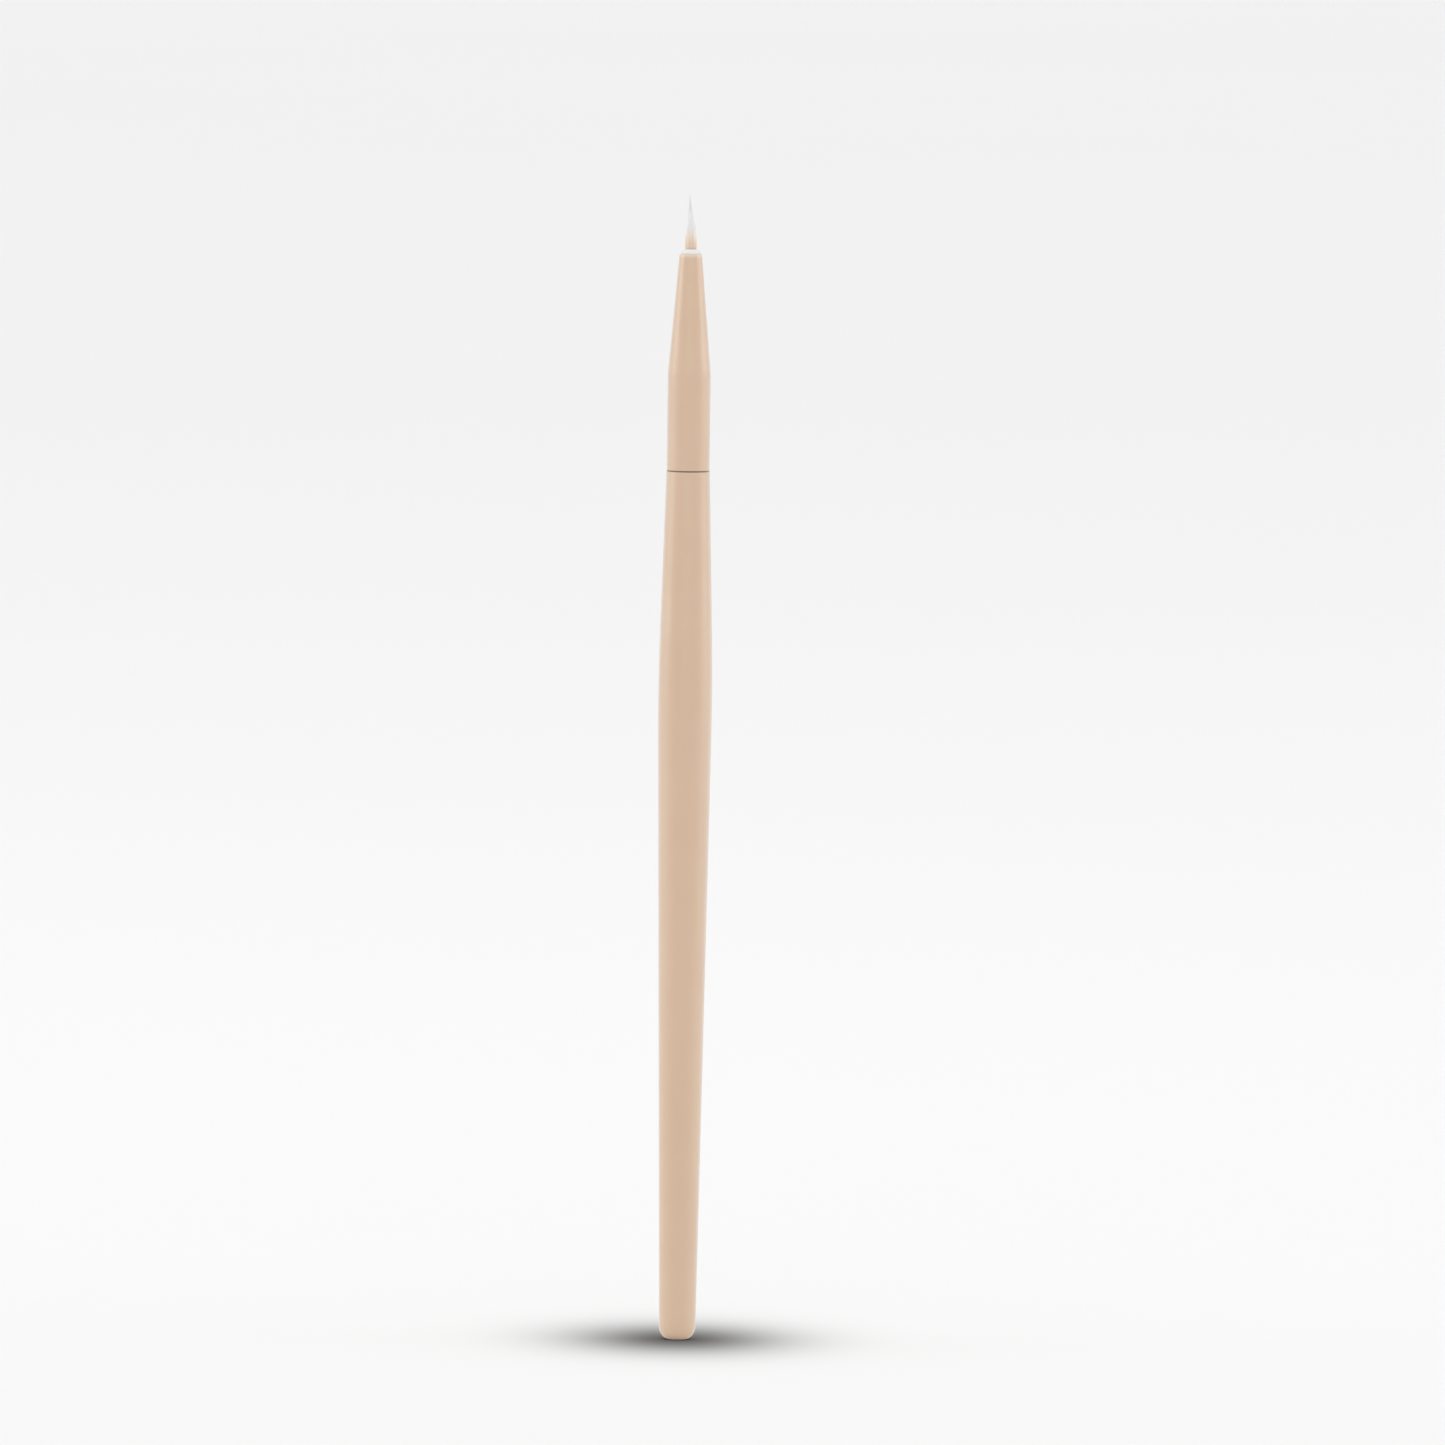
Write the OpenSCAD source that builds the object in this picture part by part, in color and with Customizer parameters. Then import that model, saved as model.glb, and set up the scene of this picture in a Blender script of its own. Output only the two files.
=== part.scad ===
// Fine eyeliner brush: a turned handle, a swaged ferrule glued on its tenon, and a
// pointed tuft held in the ferrule's mouth by a moulded collar and a plug of glue.
// The brush's own axis is +Z, and the origin is the middle of the flat butt.

/* [Handle] */
// Length of the handle, from the butt to the seam
handle_l = 127.4; // [118:0.2:140]
// Diameter just above the rounded edge of the butt
butt_d = 5.35; // [4.6:0.05:6.2]
// Width of the rounded edge of the butt
butt_round_w = 1.6; // [0.8:0.05:1.8]
// Height of the rounded edge of the butt
butt_round_h = 1.9; // [1:0.1:3]
// Diameter of the belly, the thickest place
belly_d = 7.9; // [7.2:0.05:9]
// Distance of the belly behind the seam
belly_to_seam = 34; // [28:0.2:40]
// Radius of the long curve that runs over the belly
belly_arc_r = 400; // [150:10:500]
// How far the handle stands proud of the ferrule at the seam
seam_step = 0.03; // [0:0.01:0.1]
// Bevel that breaks the edge of the handle at the seam
seam_bevel = 0.12; // [0.05:0.01:0.2]

/* [Tenon] */
// Length of the tenon that enters the ferrule
tenon_l = 12; // [8:0.5:13]
// Bevel that leads the tenon into the ferrule
tenon_bevel = 0.8; // [0.4:0.1:1.2]
// Number of glue grooves round the tenon
groove_count = 3; // [1:1:4]
// Width of one glue groove
groove_w = 0.9; // [0.5:0.1:1.2]
// Depth of one glue groove
groove_depth = 0.35; // [0.15:0.05:0.6]

/* [Ferrule] */
// Outer diameter of the straight part of the ferrule
ferrule_d = 6.3; // [6:0.02:6.8]
// Wall of the drawn tube
ferrule_wall = 0.3; // [0.2:0.05:0.4]
// Length of the straight part
ferrule_straight_l = 14.2; // [14:0.2:20]
// Length of the swaged cone
ferrule_cone_l = 17.5; // [16:0.1:20]
// Outer diameter of the cone's mouth
mouth_d = 3.3; // [3.2:0.05:3.8]
// Wall of the cone at its mouth
mouth_wall = 0.3; // [0.26:0.01:0.36]
// Rounding of the rim that the collar sits on
mouth_round_r = 0.24; // [0.1:0.01:0.25]
// Radius of the bend between the straight part and the cone
shoulder_bend_r = 12; // [4:1:20]
// Rounding of the tube's rear edge, at the seam
ferrule_edge_r = 0.1; // [0.05:0.01:0.12]

/* [Collar] */
// How far the collar's head stands back from the outside of the mouth
collar_step = 0.12; // [0.05:0.01:0.15]
// Height of the straight rim of the head
collar_rim_h = 0.1; // [0.05:0.05:0.3]
// Height of the domed shoulder of the head
collar_dome_h = 0.6; // [0.5:0.05:1]
// Length of the shank inside the ferrule
collar_shank_l = 3.5; // [2:0.5:4]
// Diameter of the bore that the tuft comes through
collar_bore_d = 1.6; // [1.4:0.02:1.7]
// Bevel at the outer end of the bore
collar_bore_bevel = 0.08; // [0.04:0.01:0.12]

/* [Tuft] */
// Length of the tuft outside the collar
tuft_out_l = 8.2; // [6:0.1:11]
// Length of the filaments inside the brush
tuft_root_l = 9.5; // [8:0.5:11]
// How far the middle of the tuft swells, as a share of its radius
tuft_swell = 0.08; // [0:0.01:0.2]
// How slender the point is: 1 gives a full round point, more a finer one
tuft_point = 1.3; // [1:0.05:1.6]
// How far the tip leans to the side
tuft_lean = 0.25; // [0:0.05:0.6]
// Number of filament crests round the tuft
crest_count = 24; // [16:2:30]
// Depth of the grooves between the crests, as a share of the radius
crest_depth = 0.12; // [0.05:0.01:0.2]

/* [Binding and glue] */
// Thickness of the thread tied round the roots
thread_d = 0.28; // [0.2:0.02:0.3]
// Number of turns of the thread
thread_turns = 4; // [3:1:5]
// Distance of the binding from the root end of the tuft
thread_from_root = 1.6; // [1:0.1:2]
// How far the glue reaches past the root end
glue_past_root = 1; // [0.5:0.1:1.5]
// Room left for glue between the tenon and the ferrule
glue_film = 0.1; // [0.06:0.01:0.14]
// Clearance of the collar in the ferrule's mouth
collar_clear = 0.02; // [0.01:0.01:0.04]
// Clearance round the tuft, in its bore and in the glue
tuft_clear = 0.02; // [0.01:0.01:0.03]

/* [Hidden] */

lacquer = "#d9bc9f";
white_moulding = "#f2f1ee";
filament = "#efe9e2";
thread_tone = "#d8cdbb";
epoxy = "#e3c98f";

// Fineness of the outlines, of the revolves and of the tuft
round_steps = 12;
turn_steps = 96;
thread_steps = 24;
tuft_rings = 20;
points_per_crest = 4;

// The collar's shoulder is the middle stretch of a quarter arc, between these angles
dome_from = 22;
dome_to = 68;

// Distance between turns of the thread, as a share of its thickness
thread_pitch = 0.9;

// Stations along the brush's axis
belly_z = handle_l - belly_to_seam;
mouth_bend_z = handle_l + ferrule_straight_l;
mouth_z = mouth_bend_z + ferrule_cone_l;
collar_top_z = mouth_z + collar_rim_h + collar_dome_h;
root_z = collar_top_z - tuft_root_l;
tip_z = collar_top_z + tuft_out_l;
thread_z = root_z + thread_from_root;

// Radii
butt_r = butt_d / 2;
belly_r = belly_d / 2;
seam_r = ferrule_d / 2 + seam_step;
bore_r = ferrule_d / 2 - ferrule_wall;
tenon_r = bore_r - glue_film;
mouth_r = mouth_d / 2;
tuft_r = collar_bore_d / 2 - tuft_clear;
thread_ring_r = tuft_r + tuft_clear + thread_d / 2;

// An outline point is [radius, height]. The straight sides of the handle are
// the tangents from its two end corners to the arc over the belly.
arc_centre = [belly_r - belly_arc_r, belly_z];
butt_corner = [butt_r, butt_round_h];
seam_corner = [seam_r, handle_l - seam_bevel];

// Slope of the tangent from a corner to the arc, measured from the axis
function tangent_slope(corner) =
  let(
    across = corner.x - arc_centre.x,
    along = abs(arc_centre.y - corner.y)
  )
  asin(belly_arc_r / norm([across, along])) - atan2(across, along);

rear_slope = tangent_slope(butt_corner);
front_slope = tangent_slope(seam_corner);

// Points of an arc about a centre, with its angle measured from the radial direction
function arc(centre, radius_x, radius_y, from, to, steps) = [
  for (i = [0:steps])
    let(a = from + (to - from) * i / steps)
    centre + [radius_x * cos(a), radius_y * sin(a)]
];

// Angle of the cone's side, and the inner radius of the cone at a height
cone_slope = atan((ferrule_d / 2 - mouth_r) / ferrule_cone_l);
function cone_inner_r(z) =
  let(t = (mouth_z - z) / ferrule_cone_l)
  (mouth_r - mouth_wall) * (1 - t) + bore_r * t;

// Radius of the tuft at a share of its free length, from a full foot to a point
function tuft_radius(share) =
  tuft_r * pow(cos(90 * share), tuft_point) * (1 + tuft_swell * sin(180 * share));

// A ring of filament crests of a given radius, centred at [x, z]
function crest_ring(radius, x, z) =
  let(count = crest_count * points_per_crest)
  [
    for (i = [0:count - 1])
      let(
        a = 360 * i / count,
        r = radius * (1 - crest_depth * (1 - abs(cos(a * crest_count / 2))))
      )
      [x + r * cos(a), r * sin(a), z]
  ];

// Triangles between two neighbouring rings of a stack, and the caps at its ends
function side_faces(count, rings) = [
  for (k = [0:rings - 2], i = [0:count - 1])
    let(
      a = k * count + i,
      b = k * count + (i + 1) % count
    )
    each [[a, a + count, b + count], [a, b + count, b]]
];
function low_cap(count) = [[for (i = [0:count - 1]) i]];
function high_fan(count, rings) =
  let(base = (rings - 1) * count)
  [for (i = [0:count - 1]) [base + i, rings * count, base + (i + 1) % count]];

module handle_outline() {
  rear_side = arc(arc_centre, belly_arc_r, belly_arc_r, -rear_slope, front_slope, round_steps);
  butt_edge = arc(
    [butt_r - butt_round_w, butt_round_h], butt_round_w, butt_round_h, -90, 0, round_steps
  );
  polygon(concat(
    [[0, 0]],
    butt_edge,
    rear_side,
    [
      seam_corner,
      [seam_r - seam_bevel, handle_l],
      [tenon_r, handle_l],
      [tenon_r, handle_l + tenon_l - tenon_bevel],
      [tenon_r - tenon_bevel, handle_l + tenon_l],
      [0, handle_l + tenon_l]
    ]
  ));
}

// The glue grooves of the tenon, evenly spread over its length
module groove_outline() {
  pitch = tenon_l / (groove_count + 1);
  for (i = [1:groove_count])
    translate([tenon_r - groove_depth, handle_l + pitch * i - groove_w / 2])
      square([groove_depth + glue_film, groove_w]);
}

module handle() {
  color(lacquer)
    rotate_extrude($fn = turn_steps)
      difference() {
        handle_outline();
        groove_outline();
      }
}

// Fills the room between tenon and ferrule, and the grooves
module tenon_glue() {
  color(epoxy)
    rotate_extrude($fn = turn_steps)
      union() {
        translate([tenon_r, handle_l])
          square([glue_film, tenon_l - tenon_bevel]);
        intersection() {
          groove_outline();
          translate([0, handle_l])
            square([bore_r, tenon_l]);
        }
      }
}

module ferrule() {
  steps = round_steps / 2;
  edge_r = ferrule_edge_r;
  foot_centre = [ferrule_d / 2 - edge_r, handle_l + edge_r];
  foot = arc(foot_centre, edge_r, edge_r, -90, 0, steps);
  bend_centre = [
    ferrule_d / 2 - shoulder_bend_r,
    mouth_bend_z - shoulder_bend_r * tan(cone_slope / 2)
  ];
  bend = arc(bend_centre, shoulder_bend_r, shoulder_bend_r, 0, cone_slope, steps);
  rim_centre = [
    mouth_r - mouth_round_r * tan(45 - cone_slope / 2),
    mouth_z - mouth_round_r
  ];
  rim = arc(rim_centre, mouth_round_r, mouth_round_r, cone_slope, 90, steps);
  color(lacquer)
    rotate_extrude($fn = turn_steps)
      polygon(concat(
        [[bore_r, handle_l]],
        foot,
        bend,
        rim,
        [
          [mouth_r - mouth_wall, mouth_z],
          [bore_r, mouth_bend_z]
        ]
      ));
}

module nose_collar() {
  head_r = mouth_r - collar_step;
  bore = collar_bore_d / 2;
  shank_r = mouth_r - mouth_wall - collar_clear;
  dome_w = (head_r - bore - collar_bore_bevel) / (cos(dome_from) - cos(dome_to));
  dome_h = collar_dome_h / (sin(dome_to) - sin(dome_from));
  dome_centre = [
    head_r - dome_w * cos(dome_from),
    mouth_z + collar_rim_h - dome_h * sin(dome_from)
  ];
  color(white_moulding)
    rotate_extrude($fn = turn_steps)
      polygon(concat(
        [
          [bore, mouth_z - collar_shank_l],
          [shank_r, mouth_z - collar_shank_l],
          [shank_r, mouth_z],
          [head_r, mouth_z]
        ],
        arc(dome_centre, dome_w, dome_h, dome_from, dome_to, round_steps),
        [[bore, collar_top_z - collar_bore_bevel]]
      ));
}

module tuft() {
  count = crest_count * points_per_crest;
  rings = tuft_rings + 1;
  free = [
    for (k = [0:tuft_rings - 1])
      let(share = k / tuft_rings)
      each crest_ring(
        tuft_radius(share), -tuft_lean * pow(share, 2), collar_top_z + tuft_out_l * share
      )
  ];
  points = concat(crest_ring(tuft_r, 0, root_z), free, [[-tuft_lean, 0, tip_z]]);
  color(filament)
    polyhedron(points, concat(low_cap(count), side_faces(count, rings), high_fan(count, rings)));
}

// Turns of thread side by side, sunk a little into each other
module thread_outline() {
  for (i = [0:thread_turns - 1])
    translate([thread_ring_r, thread_z + thread_d * thread_pitch * i])
      circle(d = thread_d, $fn = thread_steps);
}

module binding_thread() {
  color(thread_tone)
    rotate_extrude($fn = turn_steps)
      thread_outline();
}

// Cast round the roots and the binding, from behind the collar
module root_glue() {
  back_z = root_z - glue_past_root;
  front_z = mouth_z - collar_shank_l;
  color(epoxy)
    rotate_extrude($fn = turn_steps)
      difference() {
        polygon([
          [0, back_z],
          [cone_inner_r(back_z), back_z],
          [cone_inner_r(front_z), front_z],
          [0, front_z]
        ]);
        translate([0, root_z - tuft_clear])
          square([tuft_r + tuft_clear, tuft_root_l]);
        thread_outline();
        translate([0, thread_z])
          square([thread_ring_r, thread_d * thread_pitch * (thread_turns - 1)]);
      }
}

handle();
ferrule();
nose_collar();
tuft();
binding_thread();
root_glue();
tenon_glue();
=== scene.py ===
# Fine eyeliner brush: finishes, filaments of the tuft, floor, lights and camera
import math
import random

import bmesh
import bpy
from mathutils import Matrix, Vector


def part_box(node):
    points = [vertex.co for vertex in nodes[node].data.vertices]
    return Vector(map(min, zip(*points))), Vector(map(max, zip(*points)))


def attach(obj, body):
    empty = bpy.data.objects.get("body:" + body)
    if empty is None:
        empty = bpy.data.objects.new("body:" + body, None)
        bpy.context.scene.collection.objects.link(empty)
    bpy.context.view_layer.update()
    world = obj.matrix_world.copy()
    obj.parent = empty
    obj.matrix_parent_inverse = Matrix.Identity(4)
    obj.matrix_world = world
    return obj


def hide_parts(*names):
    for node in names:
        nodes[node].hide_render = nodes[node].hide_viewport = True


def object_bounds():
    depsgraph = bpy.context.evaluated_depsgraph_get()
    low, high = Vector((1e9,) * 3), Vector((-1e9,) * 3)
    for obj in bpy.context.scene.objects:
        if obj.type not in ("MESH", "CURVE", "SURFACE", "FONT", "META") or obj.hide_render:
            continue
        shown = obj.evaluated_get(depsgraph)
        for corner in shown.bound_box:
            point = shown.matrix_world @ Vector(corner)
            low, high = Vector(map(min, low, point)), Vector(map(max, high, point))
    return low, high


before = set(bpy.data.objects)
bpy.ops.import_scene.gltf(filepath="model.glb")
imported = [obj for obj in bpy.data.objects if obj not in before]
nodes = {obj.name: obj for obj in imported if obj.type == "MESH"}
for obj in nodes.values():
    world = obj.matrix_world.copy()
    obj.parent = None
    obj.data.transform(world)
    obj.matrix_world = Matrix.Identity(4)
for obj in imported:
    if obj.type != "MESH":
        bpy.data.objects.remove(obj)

cadLow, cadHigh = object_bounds()
mm = 0.001
print("frame loaded, brush is %.1f mm tall" % ((cadHigh.z - cadLow.z) / mm))

# Heights that the finishes and the filaments are tied to
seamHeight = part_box("ferrule")[0].z
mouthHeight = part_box("ferrule")[1].z
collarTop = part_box("nose_collar")[1].z
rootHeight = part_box("tuft")[0].z
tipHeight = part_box("tuft")[1].z


# Small helpers for shader trees

def newMaterial(name):
    material = bpy.data.materials.new(name)
    material.use_nodes = True
    tree = material.node_tree
    return material, tree, tree.nodes["Principled BSDF"]


def newGroup(name, inputs, outputs):
    tree = bpy.data.node_groups.new(name, "ShaderNodeTree")
    for label, kind in inputs.items():
        tree.interface.new_socket(name=label, in_out="INPUT", socket_type=kind)
    for label, kind in outputs.items():
        tree.interface.new_socket(name=label, in_out="OUTPUT", socket_type=kind)
    return tree, tree.nodes.new("NodeGroupInput"), tree.nodes.new("NodeGroupOutput")


# Links a socket to another node's output, or gives it a fixed value
def feed(tree, socket, value):
    if isinstance(value, bpy.types.NodeSocket):
        tree.links.new(value, socket)
    elif value is not None:
        socket.default_value = value


def mathNode(tree, operation, first, second=None):
    node = tree.nodes.new("ShaderNodeMath")
    node.operation = operation
    feed(tree, node.inputs[0], first)
    feed(tree, node.inputs[1], second)
    return node.outputs["Value"]


def remap(tree, value, fromLow, fromHigh, toLow=0.0, toHigh=1.0, smooth=True):
    node = tree.nodes.new("ShaderNodeMapRange")
    node.interpolation_type = "SMOOTHSTEP" if smooth else "LINEAR"
    tree.links.new(value, node.inputs["Value"])
    limits = {"From Min": fromLow, "From Max": fromHigh, "To Min": toLow, "To Max": toHigh}
    for label, amount in limits.items():
        feed(tree, node.inputs[label], amount)
    return node.outputs["Result"]


def mixColour(tree, share, first, second):
    node = tree.nodes.new("ShaderNodeMix")
    node.data_type = "RGBA"
    for label, value in (("Factor", share), ("A", first), ("B", second)):
        socket = [s for s in node.inputs if s.name == label and s.enabled][0]
        feed(tree, socket, value)
    return [s for s in node.outputs if s.enabled][0]


def noise(tree, coordinates, scale, detail=2.0, roughness=0.5):
    node = tree.nodes.new("ShaderNodeTexNoise")
    tree.links.new(coordinates, node.inputs["Vector"])
    feed(tree, node.inputs["Scale"], scale)
    node.inputs["Detail"].default_value = detail
    node.inputs["Roughness"].default_value = roughness
    return node.outputs["Fac"]


# Height above the floor of each point of a surface
def objectHeight(tree):
    place = tree.nodes.new("ShaderNodeTexCoord").outputs["Object"]
    split = tree.nodes.new("ShaderNodeSeparateXYZ")
    tree.links.new(place, split.inputs["Vector"])
    return split.outputs["Z"]


def awayFrom(tree, height, level):
    return mathNode(tree, "ABSOLUTE", mathNode(tree, "SUBTRACT", height, level))


def tone(red, green, blue):
    return (red, green, blue, 1.0)


# Finish shared by everything sprayed, moulded, cast or waxed: slow clouds in the tone and the gloss,
# and a fine skin of ripples that breaks the reflections
skin = {
    "cloudDetail": 3.0,
    "cloudFrom": 0.3,
    "cloudTo": 0.7,
    "rippleDetail": 2.0,
    "rippleRoughness": 0.55,
}


def buildSkinGroup(values):
    inputs = {
        "Tone": "NodeSocketColor",
        "Cloud Tone": "NodeSocketColor",
        "Cloud Scale": "NodeSocketFloat",
        "Gloss Low": "NodeSocketFloat",
        "Gloss High": "NodeSocketFloat",
        "Ripple Scale": "NodeSocketFloat",
        "Ripple Depth": "NodeSocketFloat",
    }
    outputs = {"Color": "NodeSocketColor", "Roughness": "NodeSocketFloat", "Normal": "NodeSocketVector"}
    tree, given, result = newGroup("surfaceSkin", inputs, outputs)
    place = tree.nodes.new("ShaderNodeTexCoord").outputs["Object"]
    cloudNoise = noise(tree, place, given.outputs["Cloud Scale"], values["cloudDetail"])
    clouds = remap(tree, cloudNoise, values["cloudFrom"], values["cloudTo"])
    rippleScale = given.outputs["Ripple Scale"]
    ripples = noise(tree, place, rippleScale, values["rippleDetail"], values["rippleRoughness"])
    bump = tree.nodes.new("ShaderNodeBump")
    tree.links.new(ripples, bump.inputs["Height"])
    tree.links.new(given.outputs["Ripple Depth"], bump.inputs["Distance"])
    shade = mixColour(tree, clouds, given.outputs["Tone"], given.outputs["Cloud Tone"])
    gloss = remap(tree, clouds, 0.0, 1.0, given.outputs["Gloss Low"], given.outputs["Gloss High"], False)
    tree.links.new(shade, result.inputs["Color"])
    tree.links.new(gloss, result.inputs["Roughness"])
    tree.links.new(bump.outputs["Normal"], result.inputs["Normal"])
    return tree


surfaceSkin = buildSkinGroup(skin)
print("shared skin group built")


# The shared skin in a material, set with the values of its finish
def placeSkin(tree, values):
    node = tree.nodes.new("ShaderNodeGroup")
    node.node_tree = surfaceSkin
    settings = {
        "Tone": "tone",
        "Cloud Tone": "cloudTone",
        "Cloud Scale": "cloudScale",
        "Gloss Low": "glossLow",
        "Gloss High": "glossHigh",
        "Ripple Scale": "rippleScale",
        "Ripple Depth": "rippleDepth",
    }
    for label, key in settings.items():
        node.inputs[label].default_value = values[key]
    return node


# Nude lacquer of handle and ferrule, with painted shade in the groove of the joint line between them
# and a painted highlight over the rounding of the ferrule's mouth, where light from above catches it
lacquer = {
    "tone": tone(0.640, 0.452, 0.310),
    "cloudTone": tone(0.628, 0.438, 0.296),
    "cloudScale": 160.0,
    "glossLow": 0.30,
    "glossHigh": 0.36,
    "rippleScale": 1400.0,
    "rippleDepth": 0.008 * mm,
    "coatWeight": 0.5,
    "coatRoughness": 0.32,
    "sheenWeight": 0.6,
    "sheenRoughness": 0.46,
    # painted shade along the groove of the joint line
    "seamShadeTone": tone(0.16, 0.12, 0.09),
    "seamReach": 0.07 * mm,
    "seamFade": 0.15 * mm,
    # painted highlight over the rounding of the ferrule's mouth
    "rimHighlightTone": tone(0.72, 0.56, 0.43),
    "rimReach": 0.10 * mm,
    "rimFade": 0.70 * mm,
}


def makeLacquer(name, values):
    material, tree, shader = newMaterial(name)
    coating = placeSkin(tree, values)
    height = objectHeight(tree)
    fromSeam = awayFrom(tree, height, seamHeight)
    fromMouth = awayFrom(tree, height, mouthHeight)
    # painted shade: the base colour darkens in a narrow band along the joint groove, where shade falls
    seamShade = remap(tree, fromSeam, values["seamReach"], values["seamFade"], 1.0, 0.0)
    # painted highlight: the base colour pales over the rounding of the mouth, where light from above
    # falls
    rimHighlight = remap(tree, fromMouth, values["rimReach"], values["rimFade"], 1.0, 0.0)
    body = mixColour(tree, rimHighlight, coating.outputs["Color"], values["rimHighlightTone"])
    tree.links.new(mixColour(tree, seamShade, body, values["seamShadeTone"]), shader.inputs["Base Color"])
    tree.links.new(coating.outputs["Roughness"], shader.inputs["Roughness"])
    tree.links.new(coating.outputs["Normal"], shader.inputs["Normal"])
    shader.inputs["Coat Weight"].default_value = values["coatWeight"]
    shader.inputs["Coat Roughness"].default_value = values["coatRoughness"]
    shader.inputs["Sheen Weight"].default_value = values["sheenWeight"]
    shader.inputs["Sheen Roughness"].default_value = values["sheenRoughness"]
    return material


# White moulded collar in the ferrule's mouth
collar = {
    "tone": tone(0.755, 0.75, 0.74),
    "cloudTone": tone(0.725, 0.715, 0.70),
    "cloudScale": 700.0,
    "glossLow": 0.26,
    "glossHigh": 0.36,
    "rippleScale": 5000.0,
    "rippleDepth": 0.002 * mm,
}

# Cured glue inside the ferrule
glue = {
    "tone": tone(0.62, 0.46, 0.20),
    "cloudTone": tone(0.50, 0.33, 0.12),
    "cloudScale": 900.0,
    "glossLow": 0.22,
    "glossHigh": 0.45,
    "rippleScale": 2500.0,
    "rippleDepth": 0.015 * mm,
}

# Waxed thread round the roots
thread = {
    "tone": tone(0.66, 0.58, 0.47),
    "cloudTone": tone(0.52, 0.44, 0.34),
    "cloudScale": 2600.0,
    "glossLow": 0.55,
    "glossHigh": 0.75,
    "rippleScale": 9000.0,
    "rippleDepth": 0.02 * mm,
}


# Plain finish of the collar, the glue and the thread: the shared skin and nothing over it
def makePlainFinish(name, values):
    material, tree, shader = newMaterial(name)
    cover = placeSkin(tree, values)
    for label, socket in (("Color", "Base Color"), ("Roughness", "Roughness"), ("Normal", "Normal")):
        tree.links.new(cover.outputs[label], shader.inputs[socket])
    return material


# Filaments of the tuft. Heights along it are shares of its free length, from the collar to the tip
filament = {
    "count": 500,
    "sides": 6,
    "radius": 0.052 * mm,
    "thinnest": 0.85,            # share of that radius that the thinnest filament has
    "pointRadius": 0.018 * mm,
    "taperShare": 0.35,          # how much of its free length a filament narrows over
    "taperPower": 0.6,           # 1 narrows it evenly, less mostly near its point
    "boreRadius": 0.78 * mm,     # of the bundle inside the collar, up to the bevel of its bore
    "bevelDepth": 0.08 * mm,     # of the bevel round the mouth of that bore
    "bundleRadius": 0.84 * mm,   # and just above the collar
    "swell": 0.12,
    "swellBias": 0.6,            # 1 has the fullest part half way up, less has it nearer the collar
    "slender": 1.3,              # 1 gives a full round point, more a finer one
    "gather": 1.05,              # how strongly the filaments bend in towards the point
    "crowding": 0.50,            # 0.5 spreads the filaments evenly, more crowds them to the middle
    "lean": 0.25 * mm,           # how far the tip leans to the left
    "hiddenRings": 2,            # of a filament, at its root and at the collar's bevel
    "freeSteps": 8,              # and its steps above the collar
    "scatter": 0.020,            # unevenness of places and lengths, as a share of them
    "outwardScatter": 0.4,       # of it, how much may go outwards
    "turnScatter": 3,            # times it, in radians round the bundle
    "bendScatter": 2,            # times it, in radians from the collar to the tip
    "seed": 12,
    "rootTone": tone(0.86, 0.68, 0.53),
    "coreTone": tone(0.93, 0.81, 0.69),
    "tipTone": tone(0.91, 0.91, 0.905),
    "pointTone": tone(0.72, 0.72, 0.715),
    "coreEnd": 0.30,
    "whiteFrom": 0.34,
    "whiteTo": 0.62,
    "greyFrom": 0.55,
    "greyTo": 0.85,
    "outerWhite": 0.22,          # how much lower the outer filaments turn white
    "ownWhite": 0.14,            # and how much one filament differs from the next
    "glossLow": 0.32,
    "glossHigh": 0.46,
    "sheenWeight": 0.4,
    "sheenRoughness": 0.5,
}


# Radius of the curve that the outermost filament follows above the collar
def bundleRadiusAt(share, values):
    pinch = max(math.cos(math.pi / 2 * share), 0.0) ** values["gather"]
    fullness = 1 + values["swell"] * math.sin(math.pi * share ** values["swellBias"])
    return values["bundleRadius"] * pinch * fullness


# Height at which a filament meets the finer outline of the whole tuft and ends
def filamentEnd(place, values):
    narrowing = place ** (1 / (values["slender"] - values["gather"]))
    return math.acos(min(1.0, narrowing)) / (math.pi / 2)


# What sets one filament apart: its turn, place, end, bend, size and own tone, drawn in this order
def drawFilament(draw, number, values):
    scatter = values["scatter"]
    place = ((number + 0.5) / values["count"]) ** values["crowding"]
    goldenAngle = math.pi * (3 - math.sqrt(5))
    turn = number * goldenAngle + draw.uniform(-1, 1) * scatter * values["turnScatter"]
    place = min(1.0, place * (1 + draw.uniform(-1, values["outwardScatter"]) * scatter))
    end = 1.0                    # the first filament, in the middle, is the tip
    if number:
        end = filamentEnd(place, values) * (1 - abs(draw.gauss(0, 1)) * scatter)
    bend = draw.uniform(-1, 1) * scatter * values["bendScatter"]
    size = values["radius"] * draw.uniform(values["thinnest"], 1.0)
    return place, turn, end, bend, size, draw.random()


# One straight filament of unit radius, with rings a unit apart
def makeBlank(sides, steps):
    bm = bmesh.new()
    bmesh.ops.create_circle(bm, cap_ends=True, segments=sides, radius=1.0)
    top = bm.faces[:]
    for step in range(steps):
        grown = bmesh.ops.extrude_face_region(bm, geom=top)["geom"]
        if step:             # only the face at the root stays as an end
            bmesh.ops.delete(bm, geom=top, context="FACES_ONLY")
        verts = [g for g in grown if isinstance(g, bmesh.types.BMVert)]
        top = [g for g in grown if isinstance(g, bmesh.types.BMFace)]
        bmesh.ops.translate(bm, verts=verts, vec=(0, 0, 1))
    bmesh.ops.recalc_face_normals(bm, faces=bm.faces[:])
    blank = bpy.data.meshes.new("filamentBlank")
    bm.to_mesh(blank)
    bm.free()
    return blank


# Height of one of a filament's rings, and how far out the outermost filament is there
def ringPlace(ring, share, values):
    if ring < values["hiddenRings"]:
        level = rootHeight if ring == 0 else collarTop - values["bevelDepth"]
        return level, values["boreRadius"] - values["radius"]
    level = collarTop + (tipHeight - collarTop) * share
    return level, bundleRadiusAt(share, values) - values["radius"]


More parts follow.
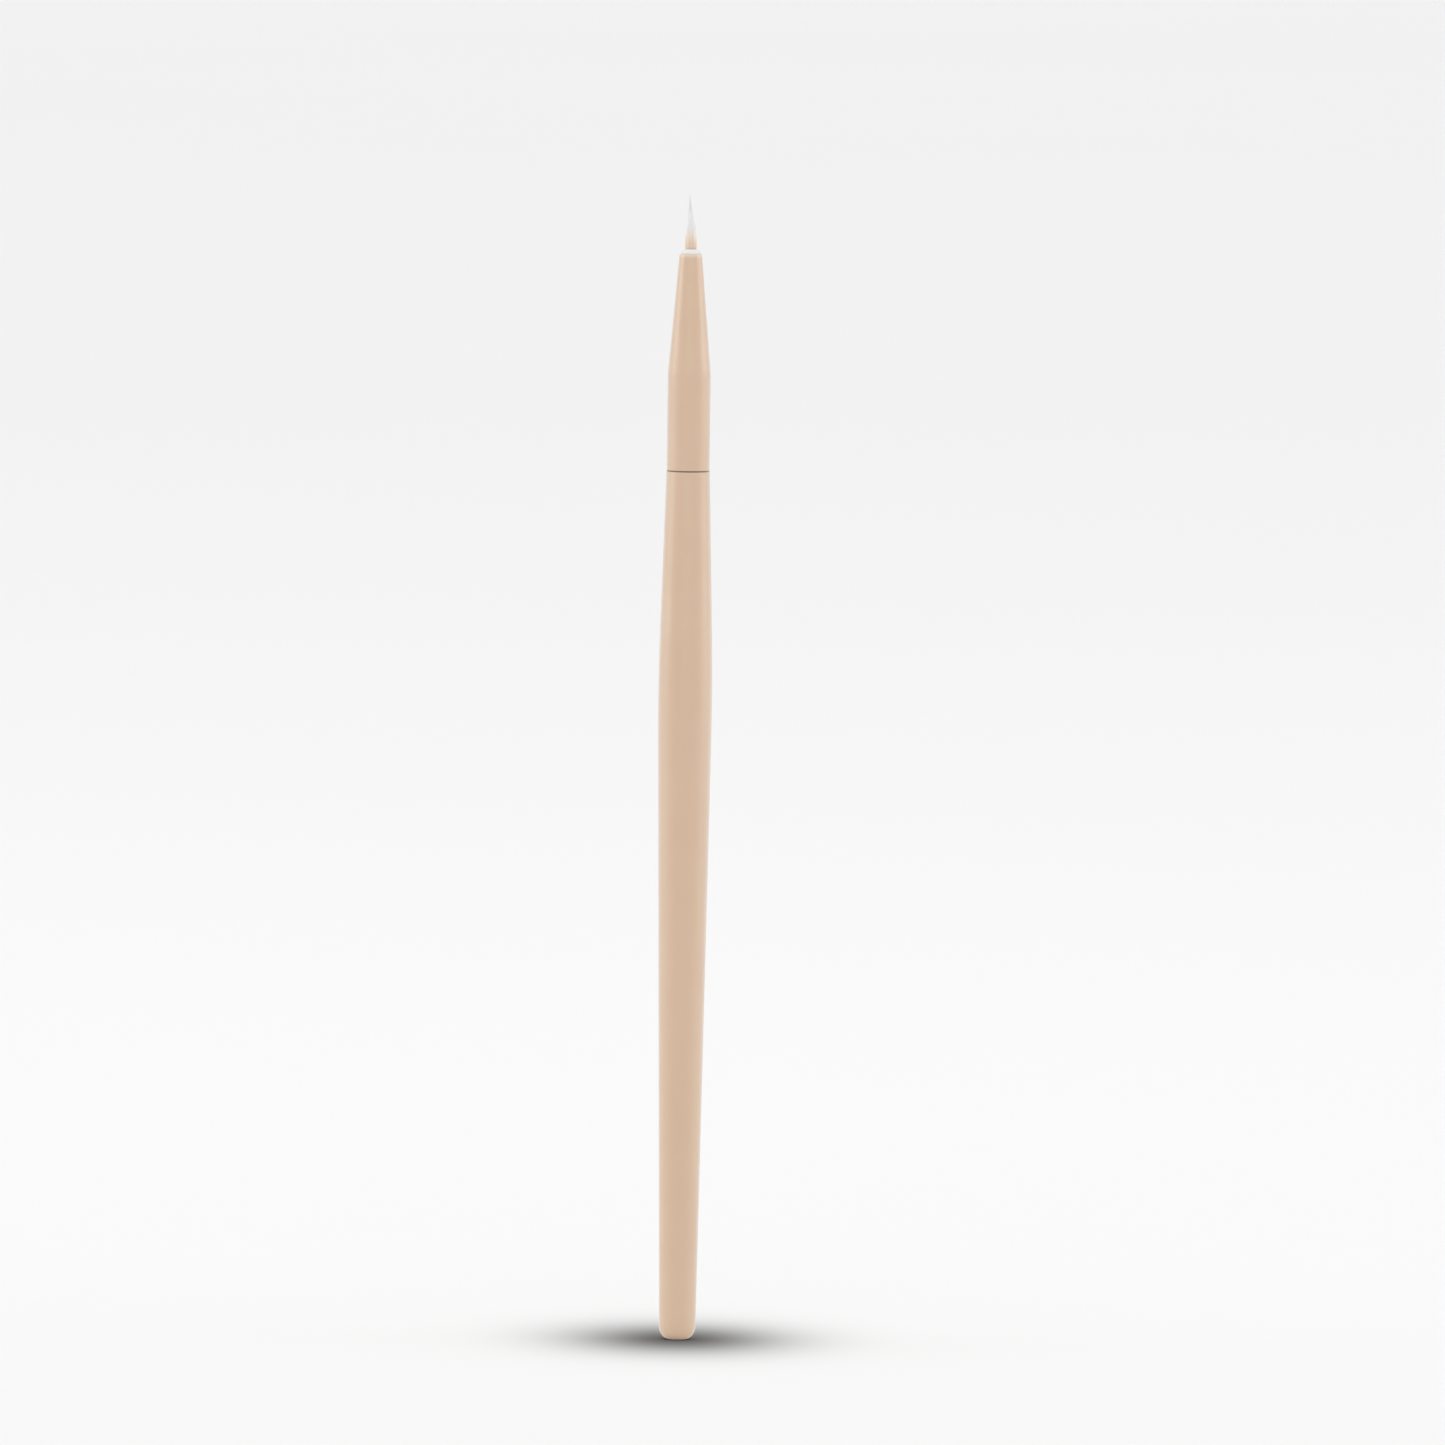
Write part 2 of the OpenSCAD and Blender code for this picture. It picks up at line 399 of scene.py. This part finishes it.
def makeTuft(name, values):
    draw = random.Random(values["seed"])
    hidden = values["hiddenRings"]
    blank = makeBlank(values["sides"], hidden + values["freeSteps"])
    bm = bmesh.new()
    outward = bm.verts.layers.float.new("outward")
    ownTone = bm.verts.layers.float.new("ownTone")
    for number in range(values["count"]):
        place, turn, end, bend, size, own = drawFilament(draw, number, values)
        before = len(bm.verts)
        bm.from_mesh(blank)
        bm.verts.ensure_lookup_table()
        for vert in bm.verts[before:]:
            ring = round(vert.co.z)
            share = end * max(0, ring - hidden) / values["freeSteps"]
            level, reach = ringPlace(ring, share, values)
            # it narrows towards its point, turns a little as it rises and leans with the whole tuft
            toPoint = min(1.0, max(0.0, end - share) / values["taperShare"])
            thick = max(values["pointRadius"], size * toPoint ** values["taperPower"])
            angle = turn + bend * share
            x = place * reach * math.cos(angle) - values["lean"] * share ** 2
            y = place * reach * math.sin(angle)
            vert.co = Vector((x + vert.co.x * thick, y + vert.co.y * thick, level))
            vert[outward] = place
            vert[ownTone] = own
    bpy.data.meshes.remove(blank)
    mesh = bpy.data.meshes.new(name)
    bm.to_mesh(mesh)
    bm.free()
    for polygon in mesh.polygons:
        polygon.use_smooth = True
    piece = bpy.data.objects.new(name, mesh)
    bpy.context.scene.collection.objects.link(piece)
    return piece


def attributeOf(tree, name):
    node = tree.nodes.new("ShaderNodeAttribute")
    node.attribute_name = name
    return node.outputs["Fac"]


# Tan at the root, white above and greyer in the clear point, with a border between tan and white
# that differs from filament to filament
def makeFilamentMaterial(name, values):
    material, tree, shader = newMaterial(name)
    height = remap(tree, objectHeight(tree), collarTop, tipHeight, 0.0, 1.0, False)
    own = attributeOf(tree, "ownTone")
    outer = remap(tree, attributeOf(tree, "outward"), 0.0, 1.0, 0.0, values["outerWhite"], False)
    uneven = remap(tree, own, 0.0, 1.0, -values["ownWhite"] / 2, values["ownWhite"] / 2, False)
    whiteness = mathNode(tree, "ADD", mathNode(tree, "ADD", height, outer), uneven)
    core = remap(tree, height, 0.0, values["coreEnd"])
    lower = mixColour(tree, core, values["rootTone"], values["coreTone"])
    white = remap(tree, whiteness, values["whiteFrom"], values["whiteTo"])
    grey = remap(tree, height, values["greyFrom"], values["greyTo"])
    upper = mixColour(tree, grey, values["tipTone"], values["pointTone"])
    tree.links.new(mixColour(tree, white, lower, upper), shader.inputs["Base Color"])
    gloss = remap(tree, own, 0.0, 1.0, values["glossLow"], values["glossHigh"], False)
    tree.links.new(gloss, shader.inputs["Roughness"])
    shader.inputs["Sheen Weight"].default_value = values["sheenWeight"]
    shader.inputs["Sheen Roughness"].default_value = values["sheenRoughness"]
    return material


lacquerFinish = makeLacquer("nudeLacquer", lacquer)
collarFinish = makePlainFinish("whiteMoulding", collar)
glueFinish = makePlainFinish("curedGlue", glue)
threadFinish = makePlainFinish("waxedThread", thread)
filamentFinish = makeFilamentMaterial("tuftFilament", filament)
finishes = {
    "handle": lacquerFinish,
    "ferrule": lacquerFinish,
    "nose_collar": collarFinish,
    "binding_thread": threadFinish,
    "root_glue": glueFinish,
    "tenon_glue": glueFinish,
}
for nodeName, finish in finishes.items():
    for materialSlot in nodes[nodeName].material_slots:
        materialSlot.material = finish
print("finishes given to", len(finishes), "nodes")

tuft = makeTuft("tuft_filaments", filament)
tuft.data.materials.append(filamentFinish)
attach(tuft, "root")
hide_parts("tuft")
print("tuft made of", filament["count"], "filaments,", len(tuft.data.polygons), "faces")


# Camera: the brush's butt and the middle of the ferrule's mouth sit at these pixels
photo = {
    "side": 1445,                # width and height of the image in pixels
    "buttPixel": (677, 1339),
    "mouthPixel": (691, 253.4),
    "elevation": math.radians(4.0),
    "distance": 3.0,             # from the middle of the brush
    "sensor": 36.0,
    "nearest": 0.1,              # what the camera shows starts here
    "farthest": 60.0,            # and ends here
}


def makeCamera(values):
    across = values["mouthPixel"][0] - values["buttPixel"][0]
    up = values["buttPixel"][1] - values["mouthPixel"][1]
    forward = Vector((0, math.cos(values["elevation"]), -math.sin(values["elevation"])))
    upright = Vector((0, math.sin(values["elevation"]), math.cos(values["elevation"])))
    turned = Matrix.Rotation(math.atan2(across, up), 3, -forward)
    upward = turned @ upright
    right = forward.cross(upward)
    middle = Vector((0, 0, (cadLow.z + cadHigh.z) / 2))
    pixelsPerMetre = math.hypot(across, up) / (mouthHeight * math.cos(values["elevation"]))
    focal = pixelsPerMetre * values["distance"]
    butt = -middle               # the butt stands on the origin
    depth = values["distance"] + butt.dot(forward)
    half = values["side"] / 2
    shiftRight = butt.dot(right) - (values["buttPixel"][0] - half) / focal * depth
    shiftUp = butt.dot(upward) - (half - values["buttPixel"][1]) / focal * depth
    camera = bpy.data.objects.new("camera", bpy.data.cameras.new("camera"))
    camera.data.sensor_width = values["sensor"]
    camera.data.lens = values["sensor"] * focal / values["side"]
    camera.data.clip_start = values["nearest"]
    camera.data.clip_end = values["farthest"]
    axes = Matrix((right, upward, -forward)).transposed().to_4x4()
    place = middle - forward * values["distance"] + right * shiftRight + upward * shiftUp
    camera.matrix_world = Matrix.Translation(place) @ axes
    bpy.context.scene.collection.objects.link(camera)
    bpy.context.scene.camera = camera
    return camera


camera = makeCamera(photo)
print("camera lens %.0f mm" % camera.data.lens)


# Floor, lamps and world
stage = {
    "floorRadius": 9.0,
    "floorSides": 96,
    "floorRoughness": 0.9,
    "floorTone": tone(0.845, 0.845, 0.845),
    "floorCloud": tone(0.83, 0.83, 0.83),
    "floorCloudScale": 1.5,
    "shadeTone": tone(0.06, 0.06, 0.06),
    "shadeDepth": 0.90,
    "shadeReach": 16.0 * mm,
    "shadeStretch": 1.4,         # how much further it reaches to the front and back
    "skyLight": 0.65,
    "skySeen": 0.88,
    "topLight": 1.0,
    "topSpread": math.radians(80),
    "leftLight": 0.66,
    "rightLight": 0.62,
    "sideFrom": Vector((1.0, 0.0, 0.12)),
    "sideSpread": math.radians(35),
    "frontLight": 0.45,
    "frontFrom": Vector((0.0, -1.0, 0.19)),
    "frontSpread": math.radians(50),
    "washLight": 2.6,
    "washPlace": Vector((0.0, 0.35, 1.40)),
    "washSize": (2.4, 0.8),
}


# Pale floor with a soft shade round the foot of the brush
def makeFloor(values):
    bm = bmesh.new()
    bmesh.ops.create_circle(
        bm, cap_ends=True, segments=values["floorSides"], radius=values["floorRadius"])
    mesh = bpy.data.meshes.new("floor")
    bm.to_mesh(mesh)
    bm.free()
    floor = bpy.data.objects.new("floor", mesh)
    bpy.context.scene.collection.objects.link(floor)
    material, tree, shader = newMaterial("paleFloor")
    place = tree.nodes.new("ShaderNodeTexCoord").outputs["Object"]
    clouds = noise(tree, place, values["floorCloudScale"])
    bare = mixColour(tree, clouds, values["floorTone"], values["floorCloud"])
    squeezed = tree.nodes.new("ShaderNodeMapping")
    squeezed.inputs["Scale"].default_value = (1, 1 / values["shadeStretch"], 1)
    tree.links.new(place, squeezed.inputs["Vector"])
    distance = tree.nodes.new("ShaderNodeVectorMath")
    distance.operation = "LENGTH"
    tree.links.new(squeezed.outputs["Vector"], distance.inputs[0])
    reach = mathNode(tree, "DIVIDE", distance.outputs["Value"], values["shadeReach"])
    squared = mathNode(tree, "POWER", reach, 2.0)
    fall = mathNode(tree, "EXPONENT", mathNode(tree, "MULTIPLY", squared, -1.0))
    seen = tree.nodes.new("ShaderNodeLightPath").outputs["Is Camera Ray"]
    share = mathNode(tree, "MULTIPLY", mathNode(tree, "MULTIPLY", fall, values["shadeDepth"]), seen)
    tree.links.new(mixColour(tree, share, bare, values["shadeTone"]), shader.inputs["Base Color"])
    shader.inputs["Roughness"].default_value = values["floorRoughness"]
    shader.inputs["Specular IOR Level"].default_value = 0.0
    mesh.materials.append(material)


# Far soft lamp, so the floor is lit evenly from every side
def makeFarLamp(name, comesFrom, spread, power):
    lamp = bpy.data.lights.new(name, "SUN")
    lamp.angle = spread
    lamp.energy = power
    far = bpy.data.objects.new(name, lamp)
    far.matrix_world = comesFrom.to_track_quat("Z", "Y").to_matrix().to_4x4()
    bpy.context.scene.collection.objects.link(far)


# Wide box over the floor behind the brush, facing straight down
def makeWashBox(values):
    lamp = bpy.data.lights.new("washBox", "AREA")
    lamp.shape = "RECTANGLE"
    lamp.size, lamp.size_y = values["washSize"]
    lamp.energy = values["washLight"]
    box = bpy.data.objects.new("washBox", lamp)
    box.location = values["washPlace"]
    box.visible_camera = False
    bpy.context.scene.collection.objects.link(box)


# The world lights the brush at skyLight, and is the pale background where it is seen
def makeWorld(values):
    world = bpy.data.worlds.new("studio")
    world.use_nodes = True
    bpy.context.scene.world = world
    tree = world.node_tree
    light = tree.nodes["Background"]
    light.inputs["Color"].default_value = tone(1, 1, 1)
    light.inputs["Strength"].default_value = values["skyLight"]
    seen = tree.nodes.new("ShaderNodeBackground")
    seen.inputs["Color"].default_value = tone(1, 1, 1)
    seen.inputs["Strength"].default_value = values["skySeen"]
    path = tree.nodes.new("ShaderNodeLightPath")
    direct = mathNode(tree, "MAXIMUM", path.outputs["Is Camera Ray"], path.outputs["Is Glossy Ray"])
    share = mathNode(tree, "MAXIMUM", direct, path.outputs["Is Transmission Ray"])
    mix = tree.nodes.new("ShaderNodeMixShader")
    tree.links.new(share, mix.inputs["Fac"])
    tree.links.new(light.outputs["Background"], mix.inputs[1])
    tree.links.new(seen.outputs["Background"], mix.inputs[2])
    tree.links.new(mix.outputs["Shader"], tree.nodes["World Output"].inputs["Surface"])


makeFloor(stage)
makeWorld(stage)
makeFarLamp("topLamp", Vector((0, 0, 1)), stage["topSpread"], stage["topLight"])
makeFarLamp("leftLamp", stage["sideFrom"] * Vector((-1, 1, 1)), stage["sideSpread"], stage["leftLight"])
makeFarLamp("rightLamp", stage["sideFrom"], stage["sideSpread"], stage["rightLight"])
makeFarLamp("frontLamp", stage["frontFrom"], stage["frontSpread"], stage["frontLight"])
makeWashBox(stage)
bpy.context.scene.view_settings.view_transform = "Standard"
print("stage, lamps and world made")
